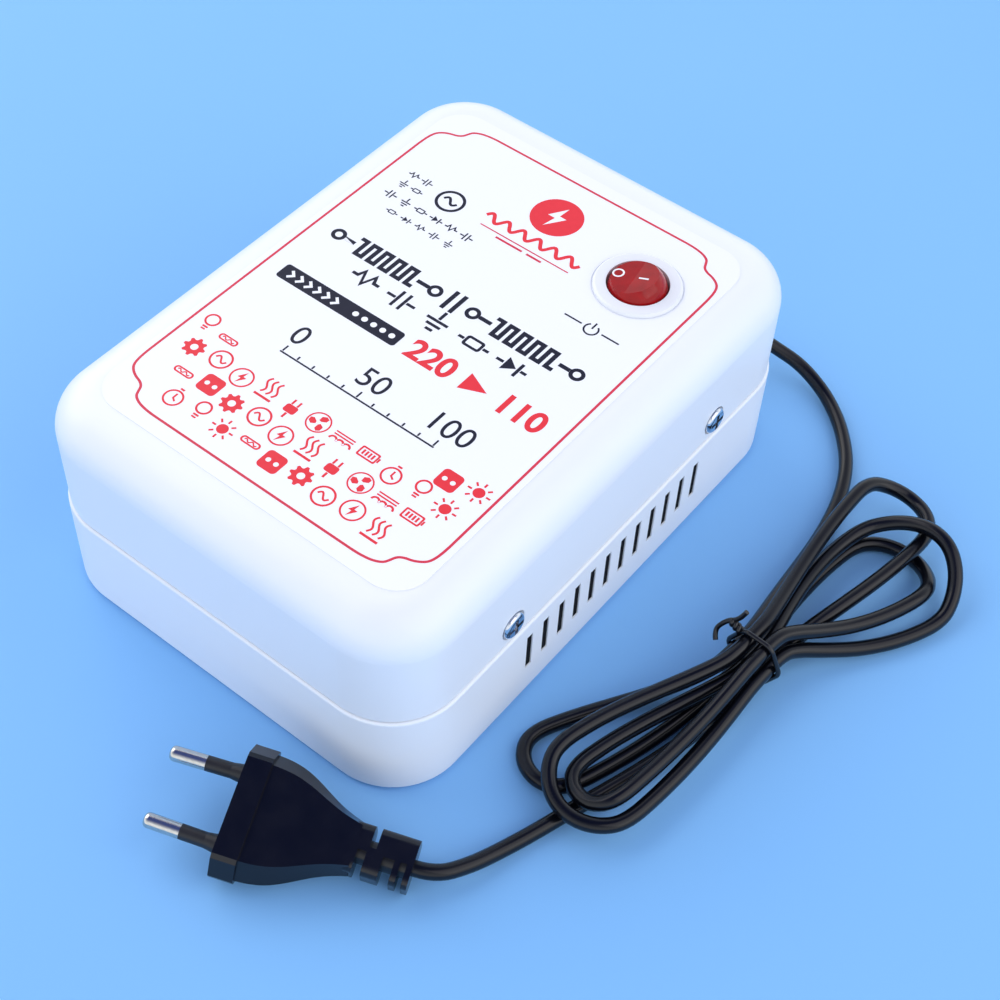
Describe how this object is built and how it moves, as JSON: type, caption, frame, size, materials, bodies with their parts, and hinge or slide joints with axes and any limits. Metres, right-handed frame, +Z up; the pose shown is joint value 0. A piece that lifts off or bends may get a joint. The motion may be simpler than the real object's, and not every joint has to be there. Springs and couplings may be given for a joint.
{
  "type": "travel voltage converter",
  "caption": "Box-shaped travel voltage converter: two-shell case, transformer inside, rocker switch on top, outlet at one end, and a tied mains cord with a two-pin plug.",
  "frame": {"origin": "on the floor under the middle of the case, level with the feet it stands on", "axes": "+Z up; +Y along the case towards the end with the outlet and the cord; +X towards the long side that the cord lies beside"},
  "size_m": [0.2044, 0.2405, 0.071],
  "materials": {
    "white_abs": "glossy white moulded ABS",
    "printed_film": "printed white film with a red border",
    "foot_rubber": "black rubber",
    "screen_foam": "black open-cell foam",
    "screw_chrome": "plated screw steel",
    "switch_bezel": "glossy white nylon",
    "red_lens": "clear red rocker lens",
    "black_nylon": "black nylon",
    "spring_steel": "spring steel wire",
    "contact_brass": "stamped brass",
    "lamp_glass": "clear lamp glass",
    "core_steel": "varnished laminated steel",
    "bobbin_nylon": "natural nylon",
    "copper_wire": "enamelled copper wire",
    "yellow_tape": "yellow polyester tape",
    "zinc_steel": "zinc-plated steel",
    "outlet_plastic": "black moulded plastic",
    "cord_pvc": "black flexible PVC",
    "tie_plastic": "black plastic-covered wire",
    "plug_pvc": "black moulded PVC",
    "pin_nickel": "nickel-plated brass",
    "sleeve_nylon": "black pin sleeve",
    "brown_insulation": "brown PVC insulation",
    "blue_insulation": "blue PVC insulation",
    "red_insulation": "red PVC insulation",
    "black_insulation": "black PVC insulation",
    "white_insulation": "white PVC insulation"
  },
  "bodies": {
    "housing": {"upper_case": "white_abs", "lower_case": "white_abs", "rubber_feet": "foot_rubber", "vent_screens": "screen_foam", "top_label": "printed_film", "case_screws": "screw_chrome", "switch_body": "switch_bezel", "switch_terminals": "contact_brass", "switch_lamp": "lamp_glass", "transformer_core": "core_steel", "transformer_bobbin": "bobbin_nylon", "transformer_winding": "copper_wire", "winding_tape": "yellow_tape", "transformer_bolts": "zinc_steel", "thermal_cutout": "black_nylon", "outlet_face": "outlet_plastic", "outlet_back": "outlet_plastic", "outlet_live_contact": "contact_brass", "outlet_neutral_contact": "contact_brass", "cord_gland": "black_nylon", "cord_inlet": "cord_pvc", "cord_clamp": "black_nylon", "clamp_screws": "zinc_steel", "cord_lead": "cord_pvc", "cord_hank": "cord_pvc", "cord_tail": "cord_pvc", "cord_tie": "tie_plastic", "plug_body": "plug_pvc", "plug_bridge": "black_nylon", "plug_pins": "pin_nickel", "plug_pin_sleeves": "sleeve_nylon", "switch_sockets": "white_insulation", "line_wire": "brown_insulation", "neutral_wire": "blue_insulation", "switched_wire": "red_insulation", "output_live_wire": "black_insulation", "output_neutral_wire": "white_insulation"},
    "rocker": {"switch_rocker": "red_lens", "switch_plunger": "black_nylon", "switch_spring": "spring_steel"},
    "contact_lever": {"switch_contact_lever": "contact_brass"}
  },
  "joints": [
    {"name": "rocker_hinge", "type": "hinge", "parent": "housing", "child": "rocker", "pos_m": [0.0322, 0.0466, 0.0644], "axis": [-0.1736, 0.9848, 0], "range_deg": [0, 24]},
    {"name": "contact_lever_hinge", "type": "hinge", "parent": "housing", "child": "contact_lever", "pos_m": [0.0322, 0.0466, 0.0568], "axis": [-0.1736, 0.9848, 0], "range_deg": [-16, 0]}
  ],
  "couplings": [
    {"joint": "contact_lever_hinge", "follows": "rocker_hinge", "ratio": -0.66667}
  ]
}
